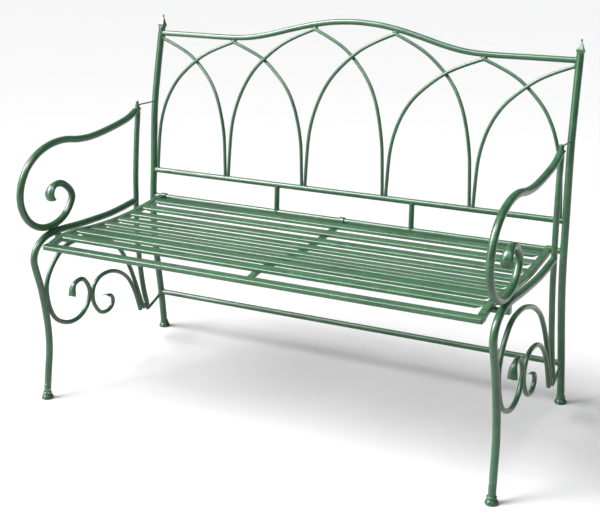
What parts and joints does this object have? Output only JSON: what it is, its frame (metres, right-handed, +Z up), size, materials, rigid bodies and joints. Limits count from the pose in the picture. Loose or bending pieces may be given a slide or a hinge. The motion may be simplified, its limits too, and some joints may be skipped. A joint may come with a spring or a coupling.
{
  "type": "folding garden bench",
  "caption": "Metal garden bench with an arched rod back, a hinged slatted seat, scrolled arms and legs, and side frames that swing on the rear posts.",
  "frame": {"origin": "on the ground, under the middle of the bench's overall width and depth", "axes": "+X to the right of someone facing the front of the bench, -Y is the way the bench faces, +Z up"},
  "size_m": [1.31, 0.7149, 0.993],
  "materials": {
    "green_paint": "satin, slightly worn"
  },
  "bodies": {
    "back_frame": {"back_post_left": "green_paint", "finial_left": "green_paint", "rear_foot_cap_left": "green_paint", "back_strut_left": "green_paint", "pivot_link_left": "green_paint", "pivot_bar_left": "green_paint", "back_post_right": "green_paint", "finial_right": "green_paint", "rear_foot_cap_right": "green_paint", "back_strut_right": "green_paint", "pivot_link_right": "green_paint", "pivot_bar_right": "green_paint", "top_rail": "green_paint", "lower_back_rail": "green_paint", "rear_seat_rail": "green_paint", "back_stretcher": "green_paint", "arch_rod_1": "green_paint", "arch_rod_2": "green_paint", "arch_rod_3": "green_paint", "arch_rod_4": "green_paint", "arch_rod_5": "green_paint", "arch_rod_6": "green_paint", "arch_rod_7": "green_paint", "arch_rod_8": "green_paint", "arch_rod_9": "green_paint", "arch_rod_10": "green_paint"},
    "side_frame_left": {"rear_upright_left": "green_paint", "arm_tube_left": "green_paint", "leg_tube_left": "green_paint", "large_scroll_left": "green_paint", "small_scroll_left": "green_paint", "front_foot_cap_left": "green_paint", "seat_rest_left": "green_paint", "pivot_pin_left": "green_paint", "pivot_nut_left": "green_paint"},
    "side_frame_right": {"rear_upright_right": "green_paint", "arm_tube_right": "green_paint", "leg_tube_right": "green_paint", "large_scroll_right": "green_paint", "small_scroll_right": "green_paint", "front_foot_cap_right": "green_paint", "seat_rest_right": "green_paint", "pivot_pin_right": "green_paint", "pivot_nut_right": "green_paint"},
    "seat": {"seat_front_rail": "green_paint", "seat_side_bar_left": "green_paint", "seat_side_bar_right": "green_paint", "seat_centre_bar": "green_paint", "seat_hinge_left": "green_paint", "seat_hinge_right": "green_paint", "seat_hinge_centre": "green_paint", "seat_slat_1": "green_paint", "seat_slat_2": "green_paint", "seat_slat_3": "green_paint", "seat_slat_4": "green_paint", "seat_slat_5": "green_paint", "seat_slat_6": "green_paint", "seat_slat_7": "green_paint", "seat_slat_8": "green_paint"}
  },
  "joints": [
    {"name": "seat_fold", "type": "hinge", "parent": "back_frame", "child": "seat", "pos_m": [0, 0.2538, 0.435], "axis": [-1, 0, 0], "range_deg": [0, 74]},
    {"name": "side_frame_left_swing", "type": "hinge", "parent": "back_frame", "child": "side_frame_left", "pos_m": [-0.635, 0.1898, 0.4], "axis": [0, 0, -1], "range_deg": [0, 90]},
    {"name": "side_frame_right_swing", "type": "hinge", "parent": "back_frame", "child": "side_frame_right", "pos_m": [0.635, 0.1898, 0.4], "axis": [0, 0, 1], "range_deg": [0, 90]}
  ]
}
